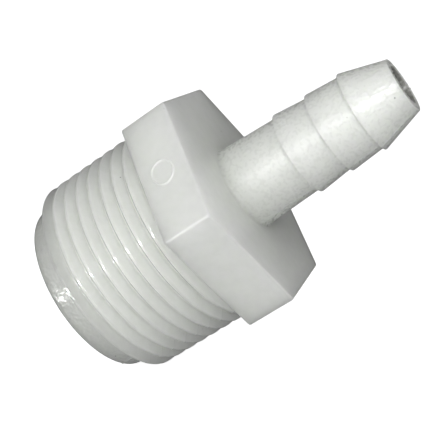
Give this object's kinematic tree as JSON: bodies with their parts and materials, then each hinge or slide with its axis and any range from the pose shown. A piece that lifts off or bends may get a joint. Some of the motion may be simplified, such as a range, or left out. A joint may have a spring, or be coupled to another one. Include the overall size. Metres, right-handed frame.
{
  "type": "hull fitting",
  "caption": "Moulded nylon hull fitting: parallel pipe-thread spigot with a smooth lead ring, hexagon collar and barbed hose tail, with an open flow passage along its axis.",
  "frame": {"origin": "centre of the threaded end's flat face, on the flow axis", "axes": "+Z along the flow axis from the threaded end to the hose tip; a hexagon corner lies on -Y and two flats face +X and -X"},
  "size_m": [0.027, 0.0312, 0.0465],
  "materials": {
    "nylon": "natural translucent nylon, satin from the mould"
  },
  "bodies": {
    "root": {"lead_ring": "nylon", "threaded_spigot": "nylon", "hex_collar": "nylon", "tail_shank": "nylon", "first_barb": "nylon", "second_barb": "nylon", "nose_barb": "nylon"}
  },
  "joints": []
}
